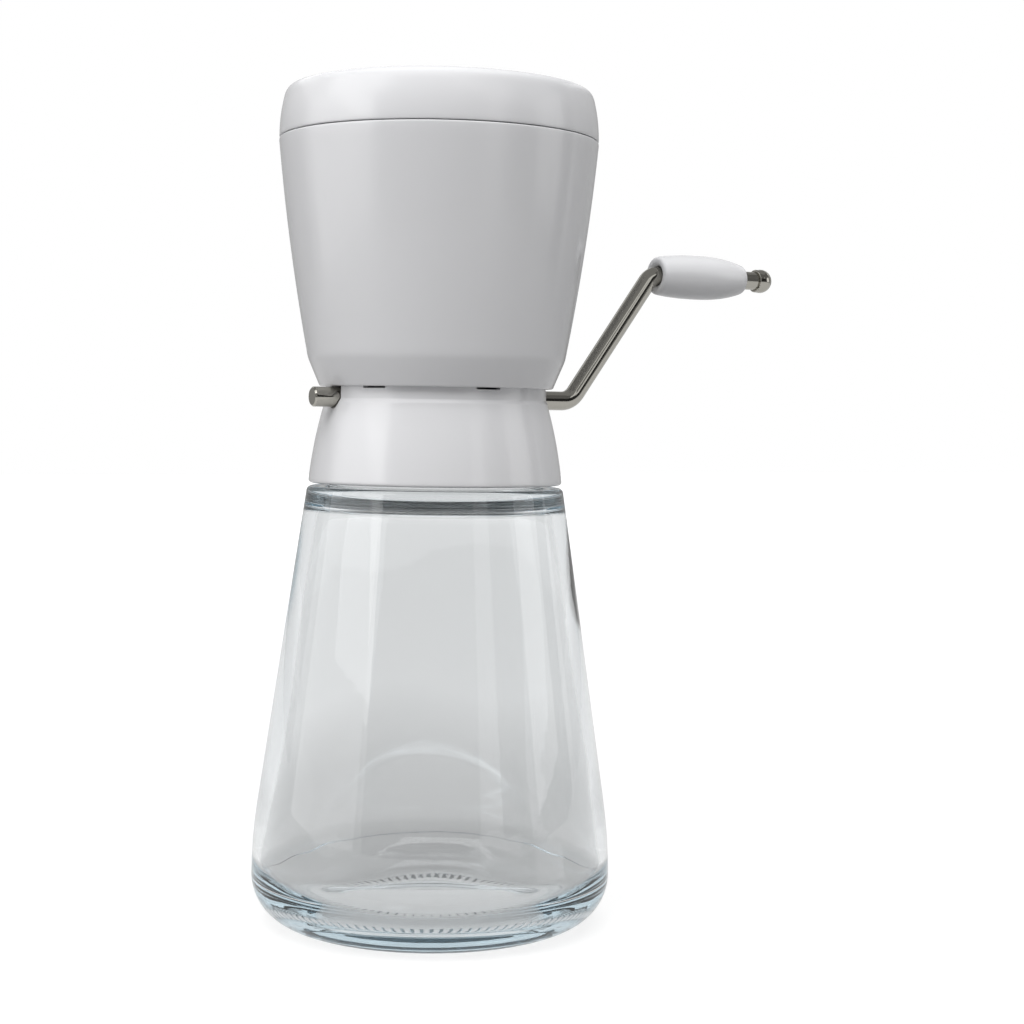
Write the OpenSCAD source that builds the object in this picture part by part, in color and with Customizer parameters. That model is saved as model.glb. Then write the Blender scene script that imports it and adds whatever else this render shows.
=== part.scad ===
// Rotary nut grinder: a glass jar, a white threaded collar, a hopper with a
// lift-off lid, and a hand crank that turns a stack of stars between two combs.
// Origin at the centre of the jar's base on the table, +Z up, +X along the crank.

/* [Jar] */
// Largest outside diameter of the glass
jar_d = 85; // [80:1:92]
// Height of the flat shoulder above the table
jar_h = 103.2; // [92:0.4:125]
// Thickness of the glass side
jar_wall = 3.2; // [2.6:0.2:4]
// Thickness of the glass floor
jar_floor = 6; // [4.5:0.5:9]
// Radius of the rounded heel
heel_r = 11.5; // [9:0.5:14]
// Height of the neck above the shoulder
neck_h = 12.8; // [12:0.2:15]
// Thickness of the glass in the neck
neck_wall = 2.7; // [2:0.1:3.2]
// Diameter of the recess under the base
punt_d = 50; // [40:1:58]
// Depth of the recess under the base
punt_depth = 1.8; // [1:0.2:2.6]

/* [Thread] */
// Rise of the thread in one turn
thread_pitch = 4; // [3.2:0.2:4.6]
// Turns of thread on the glass and in the collar
thread_turns = 1.2; // [1:0.1:1.4]
// Height of a thread ridge
thread_depth = 1.1; // [0.8:0.1:1.3]
// Radial clearance between the threads
thread_gap = 0.4; // [0.3:0.05:0.6]

/* [Collar] */
// Diameter of the collar at its lower edge
collar_d = 59.8; // [58:0.2:64]
// Diameter of the spigot that goes up inside the hopper
spigot_d = 52; // [51:0.2:53]
// Thickness of the spigot
spigot_wall = 2; // [1.6:0.1:2.2]
// Clearance between the collar and the shoulder of the jar
collar_gap = 0.8; // [0.5:0.1:1.5]
// Thickness of the deck over the jar
deck_t = 2; // [1.6:0.1:3]
// Thickness of the sealing ring
seal_t = 1.5; // [1:0.1:2]

/* [Hopper and lid] */
// Diameter of the hopper at its top rim
hopper_d = 74.8; // [72:0.2:82]
// Height of the hopper
hopper_h = 57.6; // [52:0.4:75]
// Thickness of the hopper side
hopper_wall = 2.1; // [1.8:0.1:2.6]
// Height of the lid above the hopper
lid_h = 12.8; // [11:0.2:18]
// Thickness of the lid
lid_wall = 2; // [1.6:0.1:2.6]
// Depth of the lid's plug in the hopper
plug_h = 6; // [4:0.5:9]

/* [Crank] */
// Diameter of the crank rod
rod_d = 4.6; // [4:0.1:4.8]
// Length of the plain end, from the jar's axis
stub_reach = 31.9; // [30:0.1:36]
// Distance from the jar's axis to the lower bend
arm_reach = 36.8; // [35:0.1:44]
// Distance between the crank's axis and the grip's axis
crank_throw = 31.8; // [26:0.2:40]
// Sideways run of the sloping arm
arm_run = 23.1; // [18:0.1:30]
// Length of the grip
grip_len = 26; // [22:0.1:34]
// Largest diameter of the grip
grip_d = 11; // [10:0.2:14]

/* [Grinder] */
// Diameter over the points of a star
star_d = 19.2; // [17:0.2:20]
// Thickness of a star
star_t = 1; // [0.8:0.1:1.2]
// Distance from star to star along the rod
star_pitch = 5.5; // [5.2:0.1:5.7]
// Width of the throat, across the rod
throat_w = 22; // [21.4:0.2:23]
// Thickness of the combs
comb_t = 1.2; // [0.8:0.1:1.4]
// Width of a tine of the coarse comb
coarse_tine = 1.2; // [0.9:0.1:1.5]
// Width of a tine of the fine comb
fine_tine = 0.8; // [0.6:0.1:0.9]

/* [Hidden] */
$fn = 96;
star_count = 5;
star_points = 4;
snap_count = 6;

// Heights, from the table up
rim_z = jar_h + neck_h;
deck_z = rim_z + seal_t;
deck_top_z = deck_z + deck_t;
axis_z = deck_top_z + 4.5;
hopper_z = axis_z + rod_d / 2 + 0.25;
seat_z = axis_z + 7;
hopper_top_z = hopper_z + hopper_h;
collar_z = jar_h + collar_gap;
throat_z = axis_z - star_d / 2 - 2.4;

// Radii of the jar, the collar and the thread
jar_r = jar_d / 2;
collar_r = collar_d / 2;
spigot_r = spigot_d / 2;
bore_r = spigot_r + 0.6;
neck_r = bore_r - thread_gap - thread_depth;
mouth_r = neck_r - neck_wall;
ridge_base = 0.29 * thread_pitch;
ridge_top = 0.125 * thread_pitch;
thread_z = rim_z - 2.7 - thread_turns * thread_pitch;

// Side of the jar: a cone that meets the heel in a long easy curve
side_top_r = collar_r + 0.3;
ease = 8.3;
side_foot_z = heel_r + ease;
jar_tilt = atan((jar_r - side_top_r) / (jar_h - side_foot_z));
ease_r = ease / tan(jar_tilt / 2);

// Hopper, lid and throat
hopper_r = hopper_d / 2;
skirt_r = spigot_r + 0.2;
skirt_top_r = spigot_r + 4.5;
lid_edge_r = 3;
lid_side_r = 36;
throat_l = (star_count - 1) * star_pitch + star_t + 7;
throat_wall = 1.6;
ledge_w = 5.2;
funnel_r = sqrt(pow(throat_l / 2, 2) + pow(throat_w / 2, 2)) + 0.9;

// Crank and grip
rod_r = rod_d / 2;
fit_gap = 0.02;
run_gap = 0.08;
arm_angle = atan(crank_throw / arm_run);
bend_r = 5;
top_bend_r = 4;
grip_x = arm_reach + arm_run + 1.3;
grip_z = axis_z + crank_throw;
cap_x = grip_x + grip_len + 4.4;
cap_ball_r = rod_r + 0.7;
cap_ball_x = 1.75;
spindle_end_x = cap_x + cap_ball_x + 0.7;
spacer_r = rod_r + 1.2;
comb_reach = spacer_r + 0.4;
peg_r = 1.2;

// Colours
white = [0.93, 0.93, 0.94];
glass = [0.75, 0.85, 0.88, 0.45];
nickel = [0.72, 0.70, 0.66];
steel = [0.62, 0.63, 0.65];
rubber = [0.80, 0.80, 0.78];

// Points of an arc about [r, z], from one angle to another
function arc(centre, radius, from, to, steps = 12) = [
  for (i = [0 : steps])
    let (a = from + (to - from) * i / steps)
      [centre[0] + radius * cos(a), centre[1] + radius * sin(a)]
];

// Points of the shallow arc between two points, bulging to the right of the way
function bowed(from, to, bulge, steps = 20) = [
  for (i = [0 : steps])
    let (
      t = i / steps,
      way = to - from,
      out = [way[1], -way[0]] / norm(way)
    )
      from + way * t + out * bulge * 4 * t * (1 - t)
];

// Radius of the straight glass side at a height
function side_r(z) = jar_r - (z - side_foot_z) * tan(jar_tilt);

// One helical ridge, standing out from a wall radius to a crest radius
module thread_ridge(wall_r, crest_r, start_z) {
  steps = 48;
  count = floor(thread_turns * steps);
  fade = 4;
  out = crest_r > wall_r ? 1 : -1;
  sunk_r = wall_r - out * 0.3;
  points = [
    for (i = [0 : count])
      let (
        a = i * 360 / steps,
        z = start_z + thread_pitch * i / steps,
        full = min(1, (i + 0.6) / fade, (count - i + 0.6) / fade),
        top_r = wall_r + (crest_r - wall_r) * full
      )
        each [
          for (p = [[sunk_r, -ridge_base], [top_r, -ridge_top], [top_r, ridge_top], [sunk_r, ridge_base]])
            [p[0] * cos(a), p[0] * sin(a), z - p[1] * out]
        ]
  ];
  last = 4 * count;
  faces = concat(
    [[0, 1, 2], [0, 2, 3]],
    [
      for (i = [0 : count - 1])
        for (k = [0 : 3])
          let (a = 4 * i + k, b = 4 * i + (k + 1) % 4)
            each [[a, a + 4, b + 4], [a, b + 4, b]]
    ],
    [[last, last + 2, last + 1], [last, last + 3, last + 2]]
  );
  polyhedron(points = points, faces = faces);
}

// Cylinder along X
module bar(radius, from, to) {
  translate([from, 0, 0])
    rotate([0, 90, 0])
      cylinder(r = radius, h = to - from);
}

module glass_jar() {
  base_r = jar_r - heel_r;
  punt_r = punt_d / 2;
  shoulder_r = 2.5;
  shoulder_z = jar_h - shoulder_r;
  inside_r = 9;
  slant = jar_wall / cos(jar_tilt);
  floor_r = side_r(jar_floor + inside_r) - slant - inside_r / cos(jar_tilt);
  roof_z = jar_h - jar_wall - 0.6;
  roof_r = side_r(roof_z - 3) - slant - 3 / cos(jar_tilt);
  color(glass)
    union() {
      rotate_extrude()
        polygon(concat(
          [[0, punt_depth], [punt_r - 3, punt_depth], [punt_r, 0], [base_r, 0]],
          arc([base_r, heel_r], heel_r, -90, 0),
          arc([jar_r - ease_r, heel_r], ease_r, 0, jar_tilt),
          arc([side_r(shoulder_z) - shoulder_r / cos(jar_tilt), shoulder_z], shoulder_r, jar_tilt, 90),
          [[neck_r, jar_h], [neck_r, rim_z - 1]],
          arc([neck_r - 1, rim_z - 1], 1, 0, 90, 6),
          arc([mouth_r + 1, rim_z - 1], 1, 90, 180, 6),
          arc([mouth_r + 1.4, roof_z + 1.4], 1.4, 180, 270, 6),
          arc([roof_r, roof_z - 3], 3, 90, jar_tilt, 8),
          arc([floor_r, jar_floor + inside_r], inside_r, jar_tilt, -90),
          [[0, jar_floor]]
        ));
      thread_ridge(neck_r, neck_r + thread_depth, thread_z);
    }
}

module jar_seal() {
  color(rubber)
    translate([0, 0, rim_z])
      difference() {
        cylinder(r = neck_r + 0.2, h = seal_t);
        translate([0, 0, -1])
          cylinder(r = mouth_r - 0.2, h = seal_t + 2);
      }
}

// Threaded skirt, deck and spigot, all turned about Z
module collar_body() {
  shoulder_r = 1.2;
  shoulder = [spigot_r - 0.7, axis_z - 1.7];
  bulge = 0.35;
  rotate_extrude()
    polygon(concat(
      [[bore_r, collar_z], [collar_r - 0.5, collar_z]],
      bowed([collar_r, collar_z + 0.5], shoulder + [shoulder_r, 0], bulge),
      arc(shoulder, shoulder_r, 8, 50, 6),
      [
        [spigot_r, axis_z - 0.2],
        [spigot_r, seat_z - 0.6],
        [spigot_r - 0.6, seat_z],
        [spigot_r - spigot_wall, seat_z],
        [spigot_r - spigot_wall, deck_top_z],
        [throat_w / 2 - 3, deck_top_z],
        [throat_w / 2 - 3, deck_z],
        [bore_r, deck_z]
      ]
    ));
  thread_ridge(bore_r, bore_r - thread_depth, thread_z - thread_pitch / 2);
}

module collar() {
  ledge_z = axis_z - comb_t / 2;
  color(white)
    difference() {
      union() {
        collar_body();
        // Throat that hangs in the mouth of the jar, with the end walls that carry the rod
        translate([-throat_l / 2 - throat_wall, -throat_w / 2 - throat_wall, throat_z])
          cube([throat_l + 2 * throat_wall, throat_w + 2 * throat_wall, axis_z - throat_z]);
        // Ledges under the combs
        for (side = [-1, 1])
          translate([-throat_l / 2, side * (throat_w / 2 + ledge_w / 2) - ledge_w / 2, deck_top_z - 0.5])
            cube([throat_l, ledge_w, ledge_z - deck_top_z + 0.5]);
        // Locating pegs for the combs
        for (side = [-1, 1], end = [-1, 1])
          translate([end * throat_l * 0.3, side * (throat_w / 2 + 2.8), ledge_z - 0.5])
            cylinder(r = peg_r, h = comb_t + 0.5, $fn = 32);
        // Snap teeth on the spigot
        for (i = [0 : snap_count - 1])
          rotate([0, 0, 30 + 60 * i])
            translate([spigot_r - 0.4, -2.8, seat_z - 3.4])
              cube([1.1, 5.6, 1.6]);
      }
      // Throat
      translate([-throat_l / 2, -throat_w / 2, throat_z - 1])
        cube([throat_l, throat_w, seat_z]);
      // Seats of the two combs on the long walls
      for (side = [-1, 1])
        translate([-throat_l / 2, side * (throat_w / 2 + 1) - 1.5, ledge_z])
          cube([throat_l, 3, 3]);
      // Half-round seats of the rod, and open slots in the spigot
      translate([0, 0, axis_z])
        bar(rod_r + run_gap, -throat_l / 2 - 3, throat_l / 2 + 3);
      for (end = [0, 180])
        rotate([0, 0, end]) {
          translate([0, 0, axis_z])
            bar(rod_r + 0.35, spigot_r - spigot_wall - 1, collar_r);
          translate([spigot_r - spigot_wall - 1, -rod_r - 0.35, axis_z])
            cube([6, 2 * rod_r + 0.7, 10]);
        }
      // Slits under the snap teeth, seen at the seam
      for (i = [0 : snap_count - 1])
        rotate([0, 0, 30 + 60 * i])
          translate([spigot_r - 1, -3, hopper_z - 0.7])
            cube([3, 6, 1.2]);
    }
}

// A stamped comb on the +Y side, with tines at the given places along X
module comb(tine_w, tine_xs) {
  inner_y = throat_w / 2 + 0.3;
  outer_y = throat_w / 2 + ledge_w;
  color(steel)
    translate([0, 0, axis_z - comb_t / 2])
      difference() {
        union() {
          translate([-throat_l / 2 + 0.3, inner_y, 0])
            cube([throat_l - 0.6, outer_y - inner_y, comb_t]);
          for (x = tine_xs)
            translate([x - tine_w / 2, comb_reach, 0])
              cube([tine_w, inner_y - comb_reach + 0.5, comb_t]);
        }
        for (end = [-1, 1])
          translate([end * throat_l * 0.3, throat_w / 2 + 2.8, -1])
            cylinder(r = peg_r + 0.1, h = comb_t + 2, $fn = 32);
      }
}

module coarse_comb() {
  rotate([0, 0, 180])
    comb(coarse_tine, [for (i = [0 : star_count]) (i - star_count / 2) * star_pitch]);
}

module fine_comb() {
  offset_x = star_t / 2 + fine_tine / 2 + 0.65;
  comb(fine_tine, [
    for (i = [0 : star_count - 1], side = [-1, 1])
      (i - (star_count - 1) / 2) * star_pitch + side * offset_x
  ]);
}

// Cup, funnel and skirt of the hopper, turned about Z
module hopper_body() {
  corner_r = 0.6;
  bulge = 0.55;
  foot = [skirt_top_r, hopper_z + 7.2];
  funnel_top_z = hopper_z + 17;
  outside = bowed(foot, [hopper_r, hopper_top_z - 0.6], bulge);
  inside = bowed(
    [skirt_top_r + 1.6 - hopper_wall, funnel_top_z], [hopper_r - hopper_wall, hopper_top_z - 0.6], bulge * 0.8
  );
  inside_down = [for (i = [len(inside) - 1 : -1 : 0]) inside[i]];
  rotate_extrude()
    polygon(concat(
      [[skirt_r, hopper_z]],
      arc([spigot_r + 1.6 - corner_r, hopper_z + corner_r], corner_r, -90, -25, 5),
      outside,
      arc([hopper_r - 0.6, hopper_top_z - 0.6], 0.6, 30, 90, 3),
      [[hopper_r - hopper_wall, hopper_top_z]],
      inside_down,
      [
        [funnel_r, seat_z],
        [funnel_r, seat_z - 3],
        [spigot_r - spigot_wall - 0.2, seat_z + 1.9],
        [spigot_r - spigot_wall - 0.2, seat_z],
        [skirt_r, seat_z]
      ]
    ));
}

module hopper() {
  frame_l = throat_l + 2 * throat_wall;
  frame_w = throat_w + 2 * ledge_w;
  clamp_z = axis_z + comb_t / 2;
  color(white)
    difference() {
      union() {
        hopper_body();
        // Outlet frame that clamps the combs and caps the rod's seats
        translate([-frame_l / 2, -frame_w / 2, clamp_z])
          cube([frame_l, frame_w, seat_z - clamp_z]);
        for (end = [-1, 1])
          translate([end * (throat_l + throat_wall) / 2 - throat_wall / 2, -throat_w / 2, axis_z])
            cube([throat_wall, throat_w, seat_z - axis_z]);
        // Tongues that close the slots of the spigot over the rod
        for (end = [0, 180])
          rotate([0, 0, end])
            translate([spigot_r - spigot_wall + 0.2, -rod_r, hopper_z])
              cube([spigot_wall + 0.5, 2 * rod_r, seat_z - hopper_z + 1]);
      }
      // Outlet
      translate([-throat_l / 2, -throat_w / 2, axis_z - 1])
        cube([throat_l, throat_w, 20]);
      translate([0, 0, axis_z])
        bar(rod_r + run_gap, -throat_l / 2 - 3, throat_l / 2 + 3);
      // Room for the comb pegs
      for (side = [-1, 1], end = [-1, 1])
        translate([end * throat_l * 0.3, side * (throat_w / 2 + 2.8), clamp_z - 1])
          cylinder(r = peg_r + 0.2, h = 1.6, $fn = 32);
      // Pockets for the snap teeth
      for (i = [0 : snap_count - 1])
        rotate([0, 0, 30 + 60 * i])
          translate([spigot_r - 1, -3.2, seat_z - 3.7])
            cube([2, 6.4, 2.2]);
    }
}

module lid() {
  rise = 0.8;
  foot_z = hopper_top_z + 0.6;
  side = [hopper_r - lid_side_r, foot_z];
  lean = asin((lid_h - rise - 0.6 - lid_edge_r) / (lid_side_r - lid_edge_r));
  edge = side + (lid_side_r - lid_edge_r) * [cos(lean), sin(lean)];
  in_r = lid_edge_r - lid_wall;
  plug_r = hopper_r - hopper_wall - 0.75;
  color(white)
    rotate_extrude()
      polygon(concat(
        [[hopper_r - 0.6, hopper_top_z]],
        arc(side, lid_side_r, 0, lean, 8),
        arc(edge, lid_edge_r, lean + 6, 88, 12),
        [
          [0, hopper_top_z + lid_h],
          [0, hopper_top_z + lid_h - lid_wall]
        ],
        arc(edge, in_r, 88, 20, 8),
        [
          [plug_r - 1.5, edge[1] - 1.5],
          [plug_r - 1.5, hopper_top_z - plug_h],
          [plug_r - 0.6, hopper_top_z - plug_h],
          [plug_r - 0.1, hopper_top_z - plug_h + 1],
          [plug_r, hopper_top_z]
        ]
      ));
}

// Bent rod: shaft, lower bend, sloping arm, upper bend and spindle
module crank_rod() {
  bend_l = bend_r * tan(arm_angle / 2);
  top_l = top_bend_r * tan(arm_angle / 2);
  arm_l = norm([arm_run, crank_throw]) - bend_l - top_l;
  // The straight runs reach a little way into the bends, which are a hair thicker
  lap = 0.4;
  bend_rod_r = rod_r + 0.03;
  color(nickel)
    translate([0, 0, axis_z]) {
      bar(rod_r, -stub_reach, arm_reach - bend_l + lap);
      translate([arm_reach - bend_l, 0, bend_r])
        rotate([90, 0, 0])
          rotate([0, 0, -90])
            rotate_extrude(angle = arm_angle)
              translate([bend_r, 0])
                circle(r = bend_rod_r, $fn = 48);
      translate([arm_reach, 0, 0])
        rotate([0, -arm_angle, 0])
          bar(rod_r, bend_l - lap, bend_l + arm_l + lap);
      translate([arm_reach + arm_run + top_l, 0, crank_throw - top_bend_r])
        rotate([90, 0, 0])
          rotate([0, 0, 90])
            rotate_extrude(angle = arm_angle)
              translate([top_bend_r, 0])
                circle(r = bend_rod_r, $fn = 48);
      translate([0, 0, crank_throw])
        bar(rod_r, arm_reach + arm_run + top_l - lap, spindle_end_x);
    }
}

// A stamped four-pointed star with hooked points, pressed on the rod
module star(i) {
  tip_r = star_d / 2;
  place_x = (i - (star_count + 1) / 2) * star_pitch;
  color(steel)
    translate([place_x - star_t / 2, 0, axis_z])
      rotate([90, 0, 90])
        rotate([0, 0, i * 360 / star_points / star_count])
          linear_extrude(star_t)
            difference() {
              union() {
                circle(r = tip_r * 0.5);
                for (k = [0 : star_points - 1])
                  rotate([0, 0, k * 360 / star_points])
                    polygon([
                      [0, -tip_r * 0.34],
                      [tip_r * 0.97, -tip_r * 0.1],
                      [tip_r * 0.97, tip_r * 0.16],
                      [tip_r * 0.5, tip_r * 0.2],
                      [0, tip_r * 0.4]
                    ]);
              }
              circle(r = rod_r + fit_gap);
            }
}

// A short tube between two stars, or between a star and the end wall
module spacer(i) {
  half = star_pitch / 2 - star_t / 2;
  mid_x = (i - 1 - star_count / 2) * star_pitch;
  stop_x = throat_l / 2 - 0.3;
  from_x = i == 1 ? -stop_x : mid_x - half;
  to_x = i == star_count + 1 ? stop_x : mid_x + half;
  color(steel)
    translate([0, 0, axis_z])
      difference() {
        bar(spacer_r, from_x, to_x);
        bar(rod_r + fit_gap, from_x - 1, to_x + 1);
      }
}

module grip() {
  top_r = grip_d / 2;
  near_r = top_r * 0.85;
  far_r = top_r * 0.64;
  swell = 0.47;
  fullness = 2.4;
  bore_r = rod_r + run_gap;
  cup_r = rod_r + 0.5;
  cup_l = 1.2;
  side = [
    for (i = [0 : 24])
      let (
        t = 0.05 + 0.93 * i / 24,
        near = pow(max(0, swell - t) / swell, fullness) * (top_r - near_r),
        far = pow(max(0, t - swell) / (1 - swell), fullness) * (top_r - far_r)
      )
        [top_r - near - far, t * grip_len]
  ];
  color(white)
    translate([grip_x, 0, grip_z])
      rotate([0, 90, 0])
        rotate_extrude()
          polygon(concat(
            [[cup_r, 0], [near_r - 1.2, 0], [near_r - 0.35, grip_len * 0.014]],
            side,
            [[far_r - 0.6, grip_len], [bore_r, grip_len], [bore_r, cup_l], [cup_r, cup_l]]
          ));
}

// Ball-ended metal cap pressed on the end of the spindle
module grip_cap() {
  rim_r = cap_ball_r - 0.1;
  hole_r = rod_r + fit_gap;
  hole_l = spindle_end_x - cap_x + 0.1;
  color(nickel)
    translate([cap_x, 0, grip_z])
      rotate([0, 90, 0])
        rotate_extrude()
          polygon(concat(
            [[hole_r, 0], [rim_r - 0.2, 0], [rim_r, 0.2]],
            arc([0, cap_ball_x], cap_ball_r, -acos(rim_r / cap_ball_r), 90),
            [[0, hole_l], [hole_r, hole_l]]
          ));
}

glass_jar();
jar_seal();
collar();
coarse_comb();
fine_comb();
hopper();
lid();
crank_rod();
spacer(1);  // spacer_1
star(1);  // star_1
spacer(2);  // spacer_2
star(2);  // star_2
spacer(3);  // spacer_3
star(3);  // star_3
spacer(4);  // spacer_4
star(4);  // star_4
spacer(5);  // spacer_5
star(5);  // star_5
spacer(6);  // spacer_6
grip();
grip_cap();
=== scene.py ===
import math

import bpy
from mathutils import Matrix, Vector


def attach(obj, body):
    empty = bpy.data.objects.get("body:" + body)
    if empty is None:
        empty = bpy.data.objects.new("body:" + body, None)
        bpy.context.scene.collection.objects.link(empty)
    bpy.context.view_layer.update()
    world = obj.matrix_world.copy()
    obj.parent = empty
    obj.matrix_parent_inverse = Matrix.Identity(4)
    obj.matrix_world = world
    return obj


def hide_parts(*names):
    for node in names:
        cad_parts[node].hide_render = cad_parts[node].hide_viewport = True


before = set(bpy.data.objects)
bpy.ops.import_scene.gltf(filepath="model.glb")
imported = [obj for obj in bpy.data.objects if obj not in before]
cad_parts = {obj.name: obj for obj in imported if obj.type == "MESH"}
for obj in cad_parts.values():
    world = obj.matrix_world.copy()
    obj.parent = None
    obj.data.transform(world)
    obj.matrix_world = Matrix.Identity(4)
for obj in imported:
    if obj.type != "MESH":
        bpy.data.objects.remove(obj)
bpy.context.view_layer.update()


# Glass jar
# Clear pressed glass: a cone on a thick rounded heel, with a threaded neck and a shallow recess under
# the base. The ring it stands on carries a row of small moulded nicks. It stands free on the table.
MM = 0.001
SHARP_DEG = 40


def rounded(corners, step=9, shortest=0.0):
    """Points of an outline in (radius, height), from corners given as (radius, height, fillet radius).

    A fillet has a point for each step in degrees, but none nearer to the next than the shortest run.
    """
    points = []
    for i, (r, z, fillet) in enumerate(corners):
        corner = Vector((r, z))
        if fillet == 0:
            points.append(corner)
            continue
        before = (Vector(corners[i - 1][:2]) - corner).normalized()
        after = (Vector(corners[(i + 1) % len(corners)][:2]) - corner).normalized()
        half = before.angle(after) / 2
        centre = corner + (before + after).normalized() * (fillet / math.sin(half))
        start = corner + before * (fillet / math.tan(half)) - centre
        end = corner + after * (fillet / math.tan(half)) - centre
        turn = start.angle_signed(end)
        spacing = max(math.radians(step), shortest / fillet)
        count = max(2, round(abs(turn) / spacing))
        for k in range(count + 1):
            angle = -turn * k / count
            turned_start = Vector((
                start.x * math.cos(angle) - start.y * math.sin(angle),
                start.x * math.sin(angle) + start.y * math.cos(angle),
            ))
            points.append(centre + turned_start)
    return points


def bowed(start, end, bulge, count=24):
    """Corners of a shallow arc from one (radius, height) to another, standing out by bulge."""
    start, end = Vector(start), Vector(end)
    way = end - start
    out = Vector((way.y, -way.x)).normalized()
    places = [k / count for k in range(count + 1)]
    points = [start + way * t + out * (bulge * 4 * t * (1 - t)) for t in places]
    return [(p.x, p.y, 0) for p in points]


def evenly(points, longest):
    """The same closed outline with its long straight runs cut into shorter ones."""
    cut = []
    for i, point in enumerate(points):
        following = points[(i + 1) % len(points)]
        count = max(1, math.ceil((following - point).length / longest))
        cut += [point.lerp(following, k / count) for k in range(count)]
    return cut


def mesh_object(name, points, faces, sharp=SHARP_DEG):
    """A mesh object from points in millimetres, shaded smooth except at edges sharper than an angle."""
    mesh = bpy.data.meshes.new(name)
    mesh.from_pydata([tuple(Vector(p) * MM) for p in points], [], faces)
    mesh.validate()
    mesh.shade_smooth()
    mesh.set_sharp_from_angle(angle=math.radians(sharp))
    piece = bpy.data.objects.new(name, mesh)
    bpy.context.scene.collection.objects.link(piece)
    return piece


def turned(name, outline, segments, shape=None):
    """A piece turned about Z from a closed outline of (radius, height).

    A shape function may move each point, given its angle, radius and height.
    """
    points, faces, rings = [], [], []
    for r, z in outline:
        if r < 1e-6:
            rings.append([len(points)] * segments)
            points.append((0, 0, z))
            continue
        rings.append(range(len(points), len(points) + segments))
        for k in range(segments):
            angle = 2 * math.pi * k / segments
            ring_r, ring_z = shape(angle, r, z) if shape else (r, z)
            points.append((ring_r * math.cos(angle), ring_r * math.sin(angle), ring_z))
    for i, ring in enumerate(rings):
        above = rings[(i + 1) % len(rings)]
        if len(set(ring)) == 1 and len(set(above)) == 1:
            continue
        for k in range(segments):
            n = (k + 1) % segments
            corners = [ring[k], ring[n], above[n], above[k]]
            faces.append(list(dict.fromkeys(corners)))
    return mesh_object(name, points, faces)


THREAD_PITCH = 4.0
THREAD_TURNS = 1.2
THREAD_DEPTH = 1.1


def thread_rise(angle, z, start_z):
    """How far a thread ridge stands up at a place on the wall, from 0 to 1."""
    run_out = 0.08
    half_width = 1.15
    flank = 0.65
    best = 0.0
    for turn in range(math.ceil(THREAD_TURNS)):
        along = angle / (2 * math.pi) + turn
        if along > THREAD_TURNS:
            continue
        fade = min(1.0, along / run_out, (THREAD_TURNS - along) / run_out)
        off = abs(z - start_z - THREAD_PITCH * along)
        best = max(best, fade * min(1.0, max(0.0, (half_width - off) / flank)))
    return best


JAR_R = 42.5
HEEL_TOP_Z = 19.8
SIDE_SLOPE = 0.1475
SHOULDER_Z = 103.2
NECK_FOOT_Z = 104
JAR_NECK_R = 25.1
JAR_MOUTH_R = 22.4
JAR_RIM_Z = 116.0
JAR_ROOF_Z = 99.4
JAR_FLOOR_Z = 6
RECESS_DEPTH = 1.8
THREAD_BELOW_RIM = 2.7
THREAD_Z = JAR_RIM_Z - THREAD_BELOW_RIM - THREAD_PITCH * THREAD_TURNS
NICK_COUNT = 96
NICK_DEPTH = 0.55
NICKS_FROM_R = 30.6
NICKS_TO_R = 33.6
NICKS_BELOW_Z = 1.6
WAVE_DEPTH = 0.12
WAVE_FROM_Z = 14
WAVE_TO_Z = 95
# Radius halfway through the wall at the top of the heel, to tell the inner wall from the outer
MID_WALL_R = 40.85


def jar_shape(angle, r, z):
    """Thread on the neck, nicks on the base ring and a slow wave in the inner wall."""
    if abs(r - JAR_NECK_R) < 0.01 and z > NECK_FOOT_Z:
        return r + THREAD_DEPTH * thread_rise(angle, z, THREAD_Z), z
    if z < NICKS_BELOW_Z and NICKS_FROM_R < r < NICKS_TO_R:
        return r, z + NICK_DEPTH * max(0.0, math.cos(NICK_COUNT * angle))
    if WAVE_FROM_Z < z < WAVE_TO_Z and r < MID_WALL_R - (z - HEEL_TOP_Z) * SIDE_SLOPE:
        # Three and five lobes that drift with height, fading in over 25 mm and out over 15 mm
        fade = min(1.0, (z - WAVE_FROM_Z) / 25, (WAVE_TO_Z - z) / 15)
        wave = math.sin(3 * angle + 0.05 * z) + 0.6 * math.sin(5 * angle - 0.09 * z + 1)
        return r + WAVE_DEPTH * fade * wave, z
    return r, z


thread_places = [THREAD_Z - 1.5 + 0.5 * k for k in range(16)]
jar_outline = evenly(rounded(
    # Out under the base, round the heel and up the side to the shoulder
    [
        (0, RECESS_DEPTH, 0),
        (20.5, RECESS_DEPTH, 9),
        (26.5, 0, 7),
        (JAR_R, 0, 11.5),
        (JAR_R, HEEL_TOP_Z, 115),
        (30.2, SHOULDER_Z, 1.2),
        (JAR_NECK_R, SHOULDER_Z, 0.8),
    ]
    # Up the neck, close enough for its thread
    + [(JAR_NECK_R, z, 0) for z in thread_places]
    # Over the rim and down the inside to the floor
    + [
        (JAR_NECK_R, JAR_RIM_Z, 1),
        (JAR_MOUTH_R, JAR_RIM_Z, 1),
        (JAR_MOUTH_R, JAR_ROOF_Z, 1.4),
        (27.5, JAR_ROOF_Z, 3),
        (41.24, JAR_FLOOR_Z, 9),
        (0, JAR_FLOOR_Z, 0),
    ],
    step=2,
    shortest=0.35,
), longest=1.6)
jar = turned("jar", jar_outline, segments=288, shape=jar_shape)


def new_material(name, **sockets):
    """A material with its Principled shader, whose plain values are set by socket name."""
    material = bpy.data.materials.new(name)
    material.use_nodes = True
    shader = material.node_tree.nodes["Principled BSDF"]
    for socket, value in sockets.items():
        shader.inputs[socket.replace("_", " ")].default_value = value
    return material, material.node_tree, shader


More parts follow.
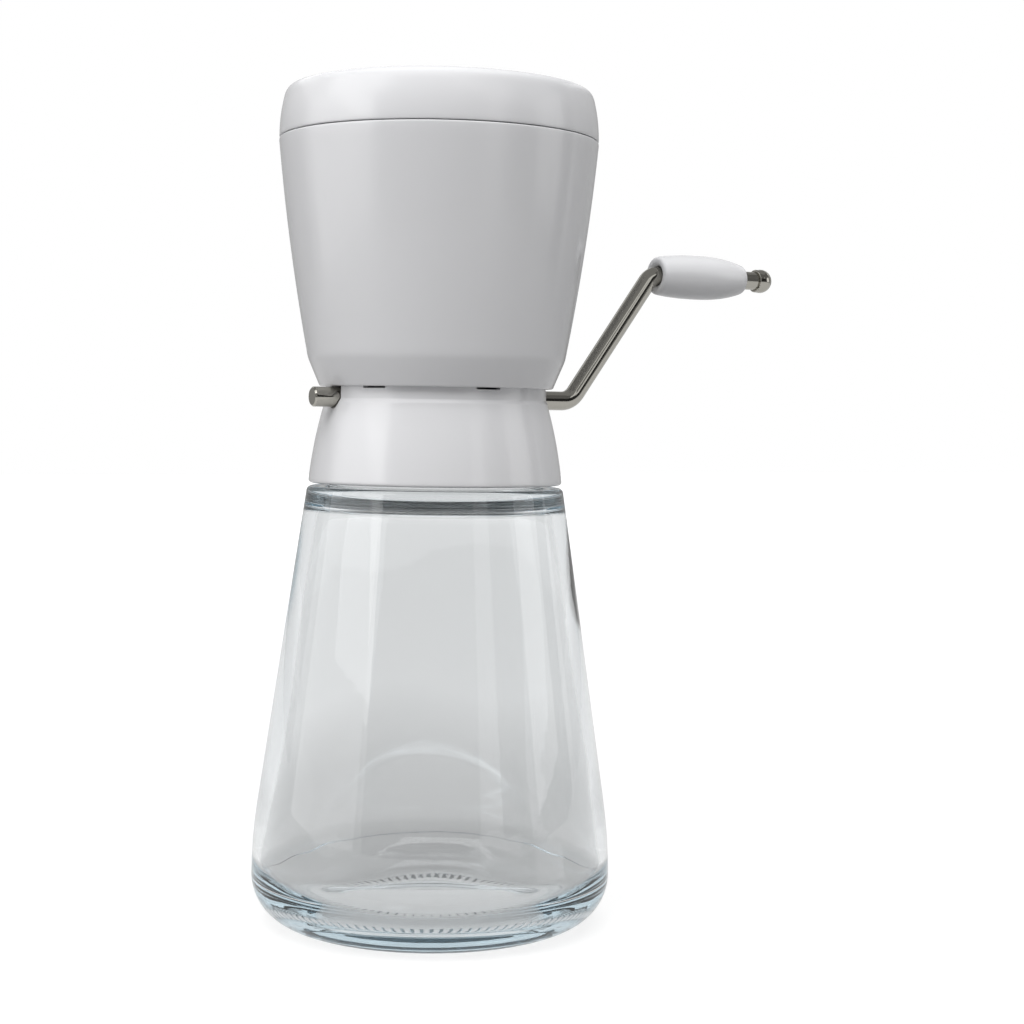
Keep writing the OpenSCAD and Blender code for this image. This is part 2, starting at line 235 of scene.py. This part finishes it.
def add_node(tree, kind, **values):
    """A shader node with its properties and input values set by name."""
    node = tree.nodes.new(kind)
    for name, value in values.items():
        if hasattr(node, name):
            setattr(node, name, value)
        else:
            node.inputs[name.replace("_", " ")].default_value = value
    return node


def make_group(name, inputs, outputs):
    """An empty shader node group with float inputs, given with their defaults, and float outputs."""
    tree = bpy.data.node_groups.new(name, "ShaderNodeTree")
    for socket, value in inputs.items():
        made = tree.interface.new_socket(socket, in_out="INPUT", socket_type="NodeSocketFloat")
        made.default_value = value
    for socket in outputs:
        tree.interface.new_socket(socket, in_out="OUTPUT", socket_type="NodeSocketFloat")
    return tree, tree.nodes.new("NodeGroupInput"), tree.nodes.new("NodeGroupOutput")


def spread_out(tree, noise, group_in):
    """The usual range of a noise, spread between the Low and High inputs of its group."""
    spread = add_node(tree, "ShaderNodeMapRange", From_Min=0.3, From_Max=0.7)
    tree.links.new(noise.outputs["Fac"], spread.inputs["Value"])
    tree.links.new(group_in.outputs["Low"], spread.inputs["To Min"])
    tree.links.new(group_in.outputs["High"], spread.inputs["To Max"])
    return spread.outputs["Result"]


# Two sizes of soft mottling: a value that drifts between two levels, and a height for bump
mottle, mottle_in, mottle_out = make_group(
    "Mottle", {"Broad Scale": 60, "Fine Scale": 900, "Low": 0.2, "High": 0.4}, ["Value", "Height"]
)
place = add_node(mottle, "ShaderNodeTexCoord")
broad = add_node(mottle, "ShaderNodeTexNoise", Detail=3)
fine = add_node(mottle, "ShaderNodeTexNoise", Detail=4)
for noise, scale in ((broad, "Broad Scale"), (fine, "Fine Scale")):
    mottle.links.new(place.outputs["Object"], noise.inputs["Vector"])
    mottle.links.new(mottle_in.outputs[scale], noise.inputs["Scale"])
mottle.links.new(spread_out(mottle, broad, mottle_in), mottle_out.inputs["Value"])
mottle.links.new(fine.outputs["Fac"], mottle_out.inputs["Height"])
MOTTLE_HEIGHT = 0.0002


def drive_finish(tree, shader, effect, height, strength, **values):
    """Drives a shader's roughness and bump from an effect group, placed with its own values."""
    group = add_node(tree, "ShaderNodeGroup", node_tree=effect, **values)
    bump = add_node(tree, "ShaderNodeBump", Strength=strength, Distance=height)
    tree.links.new(group.outputs["Value"], shader.inputs["Roughness"])
    tree.links.new(group.outputs["Height"], bump.inputs["Height"])
    tree.links.new(bump.outputs["Normal"], shader.inputs["Normal"])
    return group


def dress(piece, material):
    """Gives a piece one material, in place of any that it has."""
    piece.data.materials.clear()
    piece.data.materials.append(material)


pressed_glass, tree, shader = new_material(
    "pressed_glass", Base_Color=(0.86, 0.862, 0.863, 1), IOR=1.5, Transmission_Weight=1.0
)
drive_finish(
    tree, shader, mottle, MOTTLE_HEIGHT, 0.08,
    Broad_Scale=30, Fine_Scale=120, Low=0.0, High=0.015,
)
# The blue-green of thick glass, which shows in the heel and hardly in the thin side
depth_tint = add_node(tree, "ShaderNodeVolumeAbsorption", Color=(0.52, 0.7, 0.78, 1), Density=15)
tree.links.new(depth_tint.outputs["Volume"], tree.nodes["Material Output"].inputs["Volume"])
dress(jar, pressed_glass)
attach(jar, "jar")
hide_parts("glass_jar")


# Sealing ring
# A flat ring of off-white rubber, cut from sheet. It lies on the jar's rim under the collar's deck.
seal_rubber, tree, shader = new_material("seal_rubber", Base_Color=(0.62, 0.61, 0.57, 1))
drive_finish(
    tree, shader, mottle, MOTTLE_HEIGHT, 0.5,
    Broad_Scale=200, Fine_Scale=1500, Low=0.55, High=0.75,
)
dress(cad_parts["jar_seal"], seal_rubber)


# Collar
# One moulding of gloss white plastic: a threaded skirt that screws on the jar, a deck with the throat
# and the rod's seats, and a spigot with snap teeth and slits that the hopper clips over.
AXIS_Z = 124.0
ROD_R = 2.3
ROD_PLAY = 0.08
COLLAR_R = 29.9
COLLAR_Z = 104
BORE_R = 26.6
SPIGOT_R = 26.0
SPIGOT_BORE_R = 24
SEAT_Z = 131.0
DECK_Z = 117.5
DECK_TOP_Z = 119.5
HOPPER_Z = 126.55
# Half the length and width of the throat's opening, and of its walls
THROAT_X = 15.0
THROAT_Y = 11.0
THROAT_WALL = 1.6
WALL_X = THROAT_X + THROAT_WALL
WALL_Y = THROAT_Y + THROAT_WALL
WALL_FOOT_Z = 112
LEDGE_Y = 16.2
LEDGE_FOOT_Z = 119
LEDGE_TOP_Z = 123.4
CUT_TOP_Z = 140


def box_points(low, high):
    """The corners and faces of a box between two corners, in millimetres."""
    (x0, y0, z0), (x1, y1, z1) = low, high
    points = [(x, y, z) for z in (z0, z1) for x, y in ((x0, y0), (x1, y0), (x1, y1), (x0, y1))]
    faces = [(3, 2, 1, 0), (4, 5, 6, 7), (0, 1, 5, 4), (1, 2, 6, 5), (2, 3, 7, 6), (3, 0, 4, 7)]
    return points, faces


def block(name, low, high, edge=0.3):
    """A box with rounded edges."""
    piece = mesh_object(name, *box_points(low, high))
    bevel = piece.modifiers.new("edges", "BEVEL")
    bevel.width = edge * MM
    bevel.segments = 3
    return piece


def fixed_form(piece):
    """Replaces a piece's mesh by its mesh with all modifiers applied."""
    graph = bpy.context.evaluated_depsgraph_get()
    mesh = bpy.data.meshes.new_from_object(piece.evaluated_get(graph))
    piece.modifiers.clear()
    piece.data = mesh


def cut_away(piece, cutters):
    """Cuts the cutters out of a piece and removes them."""
    for cutter in cutters:
        cut = piece.modifiers.new("cut", "BOOLEAN")
        cut.object = cutter
        cut.operation = "DIFFERENCE"
        cut.solver = "EXACT"
    fixed_form(piece)
    for cutter in cutters:
        bpy.data.objects.remove(cutter)
    piece.data.set_sharp_from_angle(angle=math.radians(SHARP_DEG))


def joined(piece, others):
    """Puts the meshes of other pieces into one piece."""
    for other in others:
        fixed_form(other)
    with bpy.context.temp_override(active_object=piece, selected_editable_objects=[piece] + others):
        bpy.ops.object.join()


def collar_shape(angle, r, z):
    """Thread ridge on the inside of the skirt, half a pitch below the jar's."""
    if abs(r - BORE_R) < 0.01:
        return r - THREAD_DEPTH * thread_rise(angle, z, THREAD_Z - THREAD_PITCH / 2), z
    return r, z


collar = turned("collar", evenly(rounded(
    # The skirt's foot and its bowed outside
    [(BORE_R, COLLAR_Z, 0.3), (COLLAR_R, COLLAR_Z, 0.6)]
    + bowed((COLLAR_R, COLLAR_Z + 0.8), (26.6, 121.9), 0.35, count=16)
    # The step up to the spigot, down its inside to the deck and back under the deck
    + [
        (26.4, 122.9, 0.8),
        (SPIGOT_R, 123.7, 0.6),
        (SPIGOT_R, SEAT_Z, 0.6),
        (SPIGOT_BORE_R, SEAT_Z, 0.3),
        (SPIGOT_BORE_R, DECK_TOP_Z, 0.6),
        (8, DECK_TOP_Z, 0.2),
        (8, DECK_Z, 0.2),
        (BORE_R, DECK_Z, 0.6),
    ]
), longest=0.7), segments=240, shape=collar_shape)


def along_x(name, radius, start, end):
    """A plain round bar along the rod's axis."""
    segments = 48
    points, faces = [], []
    for x in (start, end):
        for k in range(segments):
            angle = 2 * math.pi * k / segments
            points.append((x, radius * math.cos(angle), AXIS_Z + radius * math.sin(angle)))
    for k in range(segments):
        n = (k + 1) % segments
        faces.append((k, n, segments + n, segments + k))
    faces.append(tuple(reversed(range(segments))))
    faces.append(tuple(range(segments, 2 * segments)))
    return mesh_object(name, points, faces)


def throat_cutter(name, foot_z):
    """A cutter as long and wide as the throat, from a height upwards."""
    low = (-THROAT_X, -THROAT_Y, foot_z)
    high = (THROAT_X, THROAT_Y, CUT_TOP_Z)
    return mesh_object(name, *box_points(low, high))


def rod_cutter(name):
    """A cutter for the rod's running fit, right across the throat."""
    return along_x(name, ROD_R + ROD_PLAY, -20, 20)


SLOT_R = ROD_R + 0.35
SLIT_COUNT = 6
SLIT_FIRST_DEG = 30
SLIT_W = 6.0
SLIT_DEPTH = 2.5
cutters = [throat_cutter("throat_cut", 110)]
for side in (-1, 1):
    # Slots in which the rod is laid from above
    near, far = sorted((side * 22, side * 32))
    low = (near, -SLOT_R, AXIS_Z)
    high = (far, SLOT_R, CUT_TOP_Z)
    cutters.append(along_x("slot_round", SLOT_R, near, far))
    cutters.append(mesh_object("slot_open", *box_points(low, high)))
for k in range(SLIT_COUNT):
    # Slits under the snap teeth, whose dark ends show at the seam
    low = (SPIGOT_R - SLIT_DEPTH, -SLIT_W / 2, HOPPER_Z - 0.45)
    high = (SPIGOT_R + 3, SLIT_W / 2, HOPPER_Z + 0.5)
    slit = mesh_object("slit", *box_points(low, high))
    turn = math.radians(SLIT_FIRST_DEG + 360 / SLIT_COUNT * k)
    slit.data.transform(Matrix.Rotation(turn, 4, "Z"))
    cutters.append(slit)
cut_away(collar, cutters)

collar_parts = []
for side in (-1, 1):
    # Long walls of the throat with the ledges of the combs, and end walls with the rod's seats
    wall = sorted((side * THROAT_Y, side * WALL_Y))
    ledge = sorted((side * THROAT_Y, side * LEDGE_Y))
    end = sorted((side * THROAT_X, side * WALL_X))
    collar_parts.append(block(
        "throat_side", (-WALL_X, wall[0], WALL_FOOT_Z), (WALL_X, wall[1], LEDGE_TOP_Z)
    ))
    collar_parts.append(block(
        "comb_ledge", (-THROAT_X, ledge[0], LEDGE_FOOT_Z), (THROAT_X, ledge[1], LEDGE_TOP_Z)
    ))
    throat_end = mesh_object(
        "throat_end", *box_points((end[0], -WALL_Y, WALL_FOOT_Z), (end[1], WALL_Y, AXIS_Z))
    )
    cut_away(throat_end, [rod_cutter("rod_seat")])
    collar_parts.append(throat_end)
joined(collar, collar_parts)

PLASTIC_WHITE = (0.8, 0.8, 0.815, 1)
PLASTIC_COOL = (0.795, 0.797, 0.815, 1)
GLOSS_LOW = 0.2
GLOSS_HIGH = 0.26
white_gloss, tree, shader = new_material(
    "white_gloss", Base_Color=PLASTIC_WHITE, Coat_Weight=0.25, Coat_Roughness=0.08
)
gloss = drive_finish(
    tree, shader, mottle, MOTTLE_HEIGHT, 0.015,
    Broad_Scale=25, Fine_Scale=1600, Low=GLOSS_LOW, High=GLOSS_HIGH,
)
# A faint drift to a cooler white over the moulding
drift = add_node(tree, "ShaderNodeMapRange", From_Min=GLOSS_LOW, From_Max=GLOSS_HIGH)
tint = add_node(tree, "ShaderNodeMix", data_type="RGBA")
tint.inputs["A"].default_value = PLASTIC_WHITE
tint.inputs["B"].default_value = PLASTIC_COOL
tree.links.new(gloss.outputs["Value"], drift.inputs["Value"])
tree.links.new(drift.outputs["Result"], tint.inputs["Factor"])
tree.links.new(tint.outputs["Result"], shader.inputs["Base Color"])
dress(collar, white_gloss)
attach(collar, "head")
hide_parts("collar")


# Combs
# Two flat combs stamped from stainless sheet, one with coarse and one with fine tines. Each lies on two
# pegs of the collar and is clamped by the hopper.

# Streaks as rolling or drawing leaves them: a value for roughness, and a height for bump
grain, grain_in, grain_out = make_group(
    "Rolled grain", {"Along": 40, "Across": 2500, "Low": 0.2, "High": 0.45}, ["Value", "Height"]
)
place = add_node(grain, "ShaderNodeTexCoord")
stretch = add_node(grain, "ShaderNodeVectorMath", operation="MULTIPLY")
ways = add_node(grain, "ShaderNodeCombineXYZ")
streaks = add_node(grain, "ShaderNodeTexNoise", Scale=1, Detail=3)
for scale, axis in (("Along", "X"), ("Across", "Y"), ("Across", "Z")):
    grain.links.new(grain_in.outputs[scale], ways.inputs[axis])
grain.links.new(place.outputs["Object"], stretch.inputs[0])
grain.links.new(ways.outputs["Vector"], stretch.inputs[1])
grain.links.new(stretch.outputs["Vector"], streaks.inputs["Vector"])
grain.links.new(spread_out(grain, streaks, grain_in), grain_out.inputs["Value"])
grain.links.new(streaks.outputs["Fac"], grain_out.inputs["Height"])
GRAIN_HEIGHT = 0.0001

stamped_steel, tree, shader = new_material(
    "stamped_steel", Base_Color=(0.56, 0.57, 0.58, 1), Metallic=1.0
)
drive_finish(tree, shader, grain, GRAIN_HEIGHT, 0.15, Along=60, Across=3000, Low=0.22, High=0.42)
for name in ("coarse_comb", "fine_comb"):
    dress(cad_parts[name], stamped_steel)


# Hopper
# A gloss white cup with gently bowed sides and a funnel inside. Its skirt snaps over the collar's
# spigot, and the frame around its outlet clamps the combs and holds the rod down.
HOPPER_R = 37.4
HOPPER_TOP_Z = 184.15
SKIRT_BORE_R = 26.2
FUNNEL_R = 19.5
OUTLET_FOOT_Z = 124.6
hopper = turned("hopper", rounded(
    # The skirt's foot, the outside and the rim
    [(SKIRT_BORE_R, HOPPER_Z, 0.3), (27.5, HOPPER_Z, 0.6), (30.35, 133.3, 7)]
    + bowed((30.75, 135.6), (HOPPER_R, HOPPER_TOP_Z - 0.8), 0.55)
    + [(HOPPER_R, HOPPER_TOP_Z, 0.35), (35.3, HOPPER_TOP_Z, 0.5)]
    # Down the bowl and the funnel, and back under the funnel to the skirt
    + bowed((35.3, HOPPER_TOP_Z - 1), (30.2, 146), -0.44)
    + [
        (29.8, 143.2, 5),
        (FUNNEL_R, SEAT_Z, 1),
        (FUNNEL_R, 128, 0.3),
        (23.8, 132.9, 0.3),
        (23.8, SEAT_Z, 0.2),
        (SKIRT_BORE_R, SEAT_Z, 0.3),
    ]
), segments=240)
outlet = block("outlet", (-WALL_X, -LEDGE_Y, OUTLET_FOOT_Z), (WALL_X, LEDGE_Y, SEAT_Z + 0.3))
fixed_form(outlet)
cut_away(outlet, [throat_cutter("outlet_cut", 120), rod_cutter("rod_cap")])
hopper_parts = [outlet]
for side in (-1, 1):
    # Tongues that close the collar's slots over the rod
    near, far = sorted((side * 24.2, side * 26.5))
    low = (near, -ROD_R, HOPPER_Z)
    high = (far, ROD_R, SEAT_Z + 1)
    hopper_parts.append(block("slot_tongue", low, high, edge=0.2))
joined(hopper, hopper_parts)
dress(hopper, white_gloss)
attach(hopper, "head")
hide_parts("hopper")


# Lid
# A shallow gloss white cap with a rounded edge and a slightly domed top. A plug under it fits the
# hopper's mouth, so that it lifts straight off. A narrow step leaves a dark line above the hopper's rim.
LID_TOP_Z = 196.95
LID_BORE_R = 34.3
PLUG_BORE_R = 33.05
PLUG_FOOT_Z = 178.15
lid = turned("lid", rounded(
    # The step over the rim, the bowed side, the rounded edge and the domed top
    [(35.9, HOPPER_TOP_Z, 0.1), (36, HOPPER_TOP_Z + 0.2, 0.1), (37.35, HOPPER_TOP_Z + 0.2, 0.25)]
    + bowed((HOPPER_R, HOPPER_TOP_Z + 0.6), (36.25, LID_TOP_Z - 3), 0.29, count=14)
    + [(35.45, LID_TOP_Z - 0.8, 2.6)]
    + bowed((31, LID_TOP_Z - 0.72), (0, LID_TOP_Z), -0.1, count=8)
    # The underside, and the plug down and up again
    + [
        (0, LID_TOP_Z - 2, 0),
        (LID_BORE_R, LID_TOP_Z - 2.7, 1),
        (LID_BORE_R, 192.6, 0.5),
        (PLUG_BORE_R, 191.4, 0.8),
        (PLUG_BORE_R, PLUG_FOOT_Z, 0.4),
        (34.45, PLUG_FOOT_Z, 0.6),
        (34.55, HOPPER_TOP_Z, 0.3),
    ]
), segments=240)
dress(lid, white_gloss)
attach(lid, "lid")
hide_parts("lid")


# Crank rod
# Steel rod with a bright nickel plate, cut off square at its plain end and bent twice: out of the
# collar, up a sloping arm and out again as the grip's spindle. It lies in the seats of the throat.
PLAIN_END = -31.9
ARM_REACH = 36.8
ARM_RUN = 23.1
THROW = 31.8
SPINDLE_END = 94.0
GRIP_Z = AXIS_Z + THROW


def swept(name, path, radius):
    """A round rod along a path in the XZ plane, in millimetres, with chamfered square ends."""
    segments = 40
    chamfer = 0.35
    first_way = (path[1] - path[0]).normalized()
    last_way = (path[-1] - path[-2]).normalized()
    stations = [
        (path[0], first_way, radius - chamfer),
        (path[0] + first_way * chamfer, first_way, radius),
    ]
    for before, centre, after in zip(path, path[1:], path[2:]):
        way = ((after - centre).normalized() + (centre - before).normalized()).normalized()
        stations.append((centre, way, radius))
    stations += [
        (path[-1] - last_way * chamfer, last_way, radius),
        (path[-1], last_way, radius - chamfer),
    ]
    points, faces = [], []
    across = Vector((0, 1, 0))
    for centre, way, r in stations:
        up = Vector((-way.z, 0, way.x))
        for k in range(segments):
            angle = 2 * math.pi * k / segments
            points.append(centre + across * (r * math.cos(angle)) + up * (r * math.sin(angle)))
    for i in range(len(stations) - 1):
        for k in range(segments):
            n = (k + 1) % segments
            a, b = i * segments, (i + 1) * segments
            faces.append((a + k, a + n, b + n, b + k))
    faces.append(tuple(reversed(range(segments))))
    faces.append(tuple(range(len(points) - segments, len(points))))
    return mesh_object(name, points, faces, sharp=30)


bends = rounded([
    (PLAIN_END, AXIS_Z, 0),
    (ARM_REACH, AXIS_Z, 5),
    (ARM_REACH + ARM_RUN, GRIP_Z, 4),
    (SPINDLE_END, GRIP_Z, 0),
], step=4)
crank_rod = swept("crank_rod", [Vector((x, 0, z)) for x, z in bends], ROD_R)
nickel_plate, tree, shader = new_material(
    "nickel_plate", Base_Color=(0.43, 0.417, 0.378, 1), Metallic=1.0
)
drive_finish(tree, shader, grain, GRAIN_HEIGHT, 0.01, Along=120, Across=1800, Low=0.06, High=0.12)
dress(crank_rod, nickel_plate)
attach(crank_rod, "crank")
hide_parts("crank_rod")


# Stars and spacers
# Four-pointed stars stamped from stainless sheet, with short steel tubes between them, all pressed on
# the rod as one stack.
turned_steel, tree, shader = new_material("turned_steel", Base_Color=(0.5, 0.5, 0.5, 1), Metallic=1.0)
drive_finish(tree, shader, grain, GRAIN_HEIGHT, 0.2, Along=3000, Across=80, Low=0.25, High=0.45)
for name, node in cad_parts.items():
    if name.startswith("star_"):
        dress(node, stamped_steel)
    elif name.startswith("spacer_"):
        dress(node, turned_steel)


# Grip
# A gloss white plastic barrel that runs free on the spindle. Its near end is dished around the bend of
# the rod.
GRIP_X = 61.2
GRIP_L = 26.0
GRIP_R = 5.5
GRIP_BORE_R = ROD_R + ROD_PLAY
SWELL = 0.47
FULLNESS = 2.4
NEAR_TAPER = 0.15
FAR_TAPER = 0.36


def grip_radius(t):
    """Radius of the barrel at a share of its length."""
    if t < SWELL:
        return GRIP_R - NEAR_TAPER * GRIP_R * ((SWELL - t) / SWELL) ** FULLNESS
    return GRIP_R - FAR_TAPER * GRIP_R * ((t - SWELL) / (1 - SWELL)) ** FULLNESS


def lay_on_spindle(piece, x):
    """Lays a piece made about Z along the spindle, with its foot at a place on X."""
    moved = Matrix.Translation((x * MM, 0, GRIP_Z * MM))
    piece.data.transform(moved @ Matrix.Rotation(math.pi / 2, 4, "Y"))


# Places along the side, clear of the rounded ends
side_places = [0.05 + 0.91 * k / 30 for k in range(31)]
grip = turned("grip", rounded(
    [(2.5, 0.5, 0.2), (3.3, 0, 0.4), (4.65, 0, 0.9)]
    + [(grip_radius(t), t * GRIP_L, 0) for t in side_places]
    + [(3.45, GRIP_L, 0.9), (GRIP_BORE_R, GRIP_L, 0.1), (GRIP_BORE_R, 1.6, 0.2)]
), segments=96)
lay_on_spindle(grip, GRIP_X)
dress(grip, white_gloss)
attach(grip, "grip")
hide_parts("grip")


# Grip cap
# A small turned and nickel-plated cap with a ball end, pressed on the end of the spindle. It keeps the
# grip on.
CAP_X = GRIP_X + GRIP_L + 4.4
CAP_R = 2.9
CAP_BORE_R = 2.32
CAP_BORE_L = 2.55
BALL_R = 3.0
BALL_X = 1.75
ball_angles = [math.radians(d) for d in range(-14, 90, 4)]
grip_cap = turned("grip_cap", rounded(
    [(CAP_BORE_R, 0, 0.08), (CAP_R, 0, 0.25)]
    + [(BALL_R * math.cos(a), BALL_X + BALL_R * math.sin(a), 0) for a in ball_angles]
    + [(0, BALL_X + BALL_R, 0), (0, CAP_BORE_L, 0), (CAP_BORE_R, CAP_BORE_L, 0)]
), segments=64)
lay_on_spindle(grip_cap, CAP_X)
dress(grip_cap, nickel_plate)
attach(grip_cap, "crank")
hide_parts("grip_cap")


# Floor, light and camera
# A white table in a white surround. A large soft light hangs overhead towards the camera, one stands
# on the left and a weak one on the right. The boards around, from bright to black, show in reflections
# only.
def flat_sheet(name, width, height):
    """A flat rectangle in the XY plane, in metres, centred on the origin."""
    mesh = bpy.data.meshes.new(name)
    corners = [(x * width / 2, y * height / 2, 0) for x, y in ((-1, -1), (1, -1), (1, 1), (-1, 1))]
    mesh.from_pydata(corners, [], [(0, 1, 2, 3)])
    sheet = bpy.data.objects.new(name, mesh)
    bpy.context.scene.collection.objects.link(sheet)
    return sheet


def math_node(tree, operation, first, second):
    """The result of a math node on two sockets, or on a socket and a number."""
    node = add_node(tree, "ShaderNodeMath", operation=operation)
    for socket, value in zip(node.inputs, (first, second)):
        if isinstance(value, (int, float)):
            socket.default_value = value
        else:
            tree.links.new(value, socket)
    return node.outputs["Value"]


def by_distance(tree, away, near, far, near_level, far_level):
    """A level of the table that fades between two distances from the jar's axis, in metres."""
    fade = add_node(
        tree, "ShaderNodeMapRange", From_Min=near, From_Max=far, To_Min=near_level, To_Max=far_level
    )
    tree.links.new(away.outputs["Value"], fade.inputs["Value"])
    return fade.outputs["Result"]


FLOOR_SIZE = 6
# The table lies a hair under the base, so that it and the glass share no face
FLOOR_GAP = 0.0002
MIRRORED_LEVEL = 0.5
floor = flat_sheet("floor", FLOOR_SIZE, FLOOR_SIZE)
floor.location.z = -FLOOR_GAP
white_table, tree, shader = new_material(
    "white_table", Base_Color=(0.3, 0.3, 0.3, 1), Roughness=0.7, Emission_Color=(1, 1, 1, 1)
)
path = add_node(tree, "ShaderNodeLightPath")
place = add_node(tree, "ShaderNodeTexCoord")
away = add_node(tree, "ShaderNodeVectorMath", operation="LENGTH")
tree.links.new(place.outputs["Object"], away.inputs[0])

# Seen through glass, the table is grey around the jar, which is painted shade standing for the jar's
# shadow on it. It is lighter far away, and lighter right under the base, which is a painted pool of
# light where the glass would focus it
painted_shade_near_jar = by_distance(tree, away, 0.08, 0.4, 0.32, 0.7)
pale_distance = by_distance(tree, away, 0.4, 2.5, 0, 0.22)
# Painted light: a bright spot on the table under the base, seen only through the glass
painted_light_under_base = by_distance(tree, away, 0.03, 0.038, 0.3, 0)
around_jar = math_node(tree, "ADD", painted_shade_near_jar, pale_distance)
through_glass = math_node(tree, "ADD", around_jar, painted_light_under_base)
# Seen by the camera itself, it fades into the white surround
plain_white = by_distance(tree, away, 0.25, 1.2, 0.78, 1.0)
seen_white = math_node(tree, "MULTIPLY", path.outputs["Is Camera Ray"], plain_white)
mirrored = math_node(tree, "MULTIPLY", path.outputs["Is Glossy Ray"], MIRRORED_LEVEL)
level = add_node(tree, "ShaderNodeMix", data_type="FLOAT")
tree.links.new(path.outputs["Is Transmission Ray"], level.inputs["Factor"])
tree.links.new(math_node(tree, "MAXIMUM", seen_white, mirrored), level.inputs["A"])
tree.links.new(through_glass, level.inputs["B"])
tree.links.new(level.outputs["Result"], shader.inputs["Emission Strength"])
dress(floor, white_table)

# The surround is plain white to the eye and in reflections, and lights the part only weakly
SURROUND_LIGHT = 0.14
world = bpy.data.worlds.new("surround")
world.use_nodes = True
bpy.context.scene.world = world
tree = world.node_tree
surround = tree.nodes["Background"]
surround.inputs["Color"].default_value = (1, 1, 1, 1)
path = add_node(tree, "ShaderNodeLightPath")
direct = math_node(tree, "MAXIMUM", path.outputs["Is Camera Ray"], path.outputs["Is Glossy Ray"])
seen = math_node(tree, "MAXIMUM", direct, path.outputs["Is Transmission Ray"])
strength = add_node(tree, "ShaderNodeMapRange", To_Min=SURROUND_LIGHT, To_Max=1.0)
tree.links.new(seen, strength.inputs["Value"])
tree.links.new(strength.outputs["Result"], surround.inputs["Strength"])


def soft_light(name, place, target, width, height, watts):
    """A rectangular area light at a place, turned towards a target."""
    light = bpy.data.lights.new(name, "AREA")
    light.shape = "RECTANGLE"
    light.size = width
    light.size_y = height
    light.energy = watts
    lamp = bpy.data.objects.new(name, light)
    lamp.location = place
    lamp.rotation_euler = (Vector(target) - Vector(place)).to_track_quat("-Z", "Y").to_euler()
    bpy.context.scene.collection.objects.link(lamp)
    return lamp


middle = (0, 0, 0.12)
soft_light("key_light", (-1.05, 0.05, 0.6), middle, 0.9, 0.9, 3.8)
top_light = soft_light("top_light", (-0.3, -0.4, 1.25), middle, 1.4, 1.4, 21)
top_light.visible_glossy = False
soft_light("side_light", (0.95, -0.6, 0.45), middle, 0.5, 0.8, 1.5)

for name, board_place, width, height, grey in (
    ("front_board", (-0.465, -0.705, 0.3), 1.38, 0.7, 0.25),
    ("dark_flag", (0.47, -0.9, 0.3), 0.3, 0.5, 0.0),
    ("left_panel", (-1.1, 0.25, 0.25), 1.15, 0.7, 1.8),
    ("back_board", (0.1, 1.1, 0.32), 2.4, 0.7, 0.35),
    ("right_board", (0.9, -0.6, 0.6), 1.2, 1.4, 0.15),
    ("side_board", (1.05, 0.35, 0.25), 0.9, 0.9, 0.45),
    ("top_board", (0, 0, 1.6), 4, 4, 0.3),
):
    board = flat_sheet(name, width, height)
    board.location = board_place
    board.rotation_euler = (Vector(middle) - Vector(board_place)).to_track_quat("Z", "Y").to_euler()
    board.visible_camera = False
    board.visible_diffuse = False
    board.visible_shadow = False
    board.visible_transmission = False
    card, _, _ = new_material(
        name, Base_Color=(0, 0, 0, 1), Emission_Color=(grey, grey, grey, 1), Emission_Strength=1.0
    )
    dress(board, card)

CAMERA_PLACE = (-0.2149, -0.4217, 0.121)
CAMERA_TURN = math.radians(-29.22)
CAMERA_DIP = 0.0498
CAMERA_ROLL = 0.0147
lens = bpy.data.cameras.new("camera")
lens.sensor_width = 36
lens.lens = 70.17
camera = bpy.data.objects.new("camera", lens)
camera.matrix_world = (
    Matrix.Translation(CAMERA_PLACE)
    @ Matrix.Rotation(CAMERA_TURN, 4, "Z")
    @ Matrix.Rotation(math.pi / 2 - CAMERA_DIP, 4, "X")
    @ Matrix.Rotation(CAMERA_ROLL, 4, "Z")
)
bpy.context.scene.collection.objects.link(camera)
bpy.context.scene.camera = camera
bpy.context.scene.view_settings.view_transform = "Standard"
# Light turns round many times inside the thick heel and the shoulder of the jar
bpy.context.scene.cycles.max_bounces = 24
bpy.context.scene.cycles.glossy_bounces = 16
bpy.context.scene.cycles.transmission_bounces = 24
